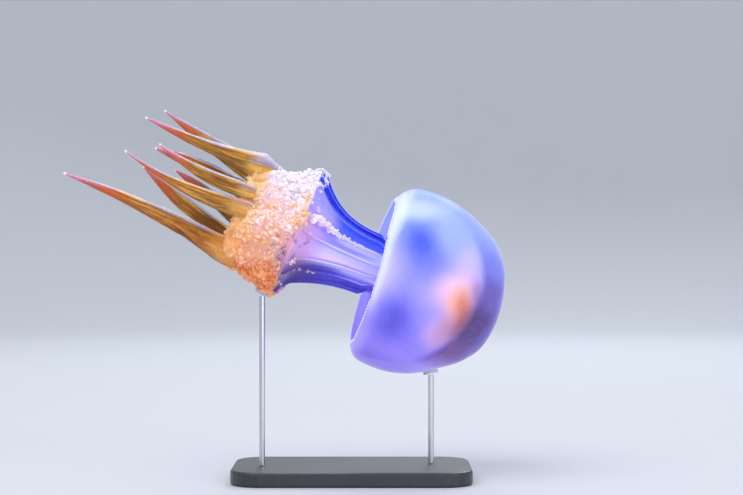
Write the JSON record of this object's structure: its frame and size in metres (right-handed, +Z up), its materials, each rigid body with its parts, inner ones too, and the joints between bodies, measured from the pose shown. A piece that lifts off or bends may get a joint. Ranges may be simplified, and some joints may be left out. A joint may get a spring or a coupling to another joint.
{
  "type": "jellyfish",
  "caption": "Flame jellyfish with a domed bell, ribbed stalk, frilled oral arms and trailing clubs, swimming at a slant, held over a flat base by short rods.",
  "frame": {"origin": "middle of the underside of the stand's base", "axes": "+Z up; +X along the base, the way the bell's top points; +Y away from the side that the picture shows"},
  "size_m": [0.2389, 0.1014, 0.2032],
  "materials": {
    "bell_jelly": "satin",
    "lappet_jelly": "satin",
    "stalk_jelly": "satin",
    "scapulet_jelly": "satin",
    "arm_frill": "matte",
    "club_flesh": "satin",
    "club_tip": "satin",
    "base_paint": "satin",
    "rod_steel": "satin",
    "pad_rubber": "satin"
  },
  "bodies": {
    "root": {"bell": "bell_jelly", "margin_lappets_1": "lappet_jelly", "margin_lappets_2": "lappet_jelly", "margin_lappets_3": "lappet_jelly", "margin_lappets_4": "lappet_jelly", "margin_lappets_5": "lappet_jelly", "margin_lappets_6": "lappet_jelly", "margin_lappets_7": "lappet_jelly", "margin_lappets_8": "lappet_jelly", "manubrium": "stalk_jelly", "scapulet_01": "scapulet_jelly", "scapulet_02": "scapulet_jelly", "scapulet_03": "scapulet_jelly", "scapulet_04": "scapulet_jelly", "scapulet_05": "scapulet_jelly", "scapulet_06": "scapulet_jelly", "scapulet_07": "scapulet_jelly", "scapulet_08": "scapulet_jelly", "scapulet_09": "scapulet_jelly", "scapulet_10": "scapulet_jelly", "scapulet_11": "scapulet_jelly", "scapulet_12": "scapulet_jelly", "scapulet_13": "scapulet_jelly", "scapulet_14": "scapulet_jelly", "scapulet_15": "scapulet_jelly", "scapulet_16": "scapulet_jelly", "oral_arm_1": "arm_frill", "oral_arm_2": "arm_frill", "oral_arm_3": "arm_frill", "oral_arm_4": "arm_frill", "oral_arm_5": "arm_frill", "oral_arm_6": "arm_frill", "oral_arm_7": "arm_frill", "oral_arm_8": "arm_frill", "arm_club_1": "club_flesh", "arm_club_2": "club_flesh", "arm_club_3": "club_flesh", "arm_club_4": "club_flesh", "arm_club_5": "club_flesh", "arm_club_6": "club_flesh", "arm_club_7": "club_flesh", "arm_club_8": "club_flesh", "arm_tip_1": "club_tip", "arm_tip_2": "club_tip", "arm_tip_3": "club_tip", "arm_tip_4": "club_tip", "arm_tip_5": "club_tip", "arm_tip_6": "club_tip", "arm_tip_7": "club_tip", "arm_tip_8": "club_tip", "stand_base": "base_paint", "stand_rod_bell": "rod_steel", "stand_rod_arms": "rod_steel", "stand_pad_bell": "pad_rubber", "stand_pad_arms": "pad_rubber"}
  },
  "joints": []
}
